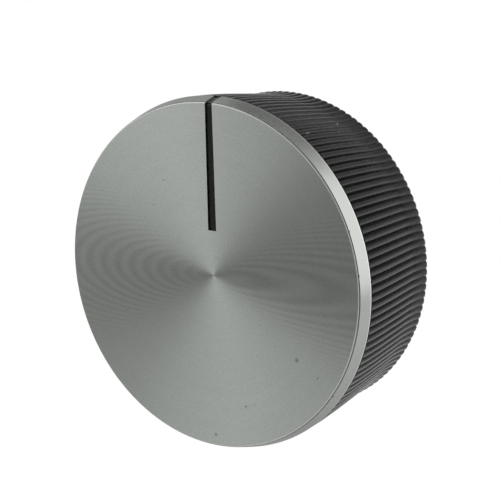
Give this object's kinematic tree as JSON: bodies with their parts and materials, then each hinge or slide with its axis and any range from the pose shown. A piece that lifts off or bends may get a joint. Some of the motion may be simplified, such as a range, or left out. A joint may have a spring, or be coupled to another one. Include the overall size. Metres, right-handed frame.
{
  "type": "stove knob",
  "caption": "Stove control knob: spun aluminium cap with an inlaid pointer on a waisted, ribbed black moulding, hollow at the back around a D-shaped shaft socket with a spring.",
  "frame": {"origin": "on the shaft axis, in the plane of the back rim and of the socket's mouth", "axes": "+Y along the shaft axis, out of the socket's mouth towards the panel, so the face looks to -Y; +Z towards the pointer; X across"},
  "size_m": [0.042, 0.0167, 0.042],
  "materials": {
    "spun_aluminium": "satin, spun in fine rings",
    "black_moulding": "matte black moulding",
    "spring_steel": "bright rolled strip"
  },
  "bodies": {
    "root": {"face_cap": "spun_aluminium", "grip_body": "black_moulding", "shaft_spring": "spring_steel"}
  },
  "joints": []
}
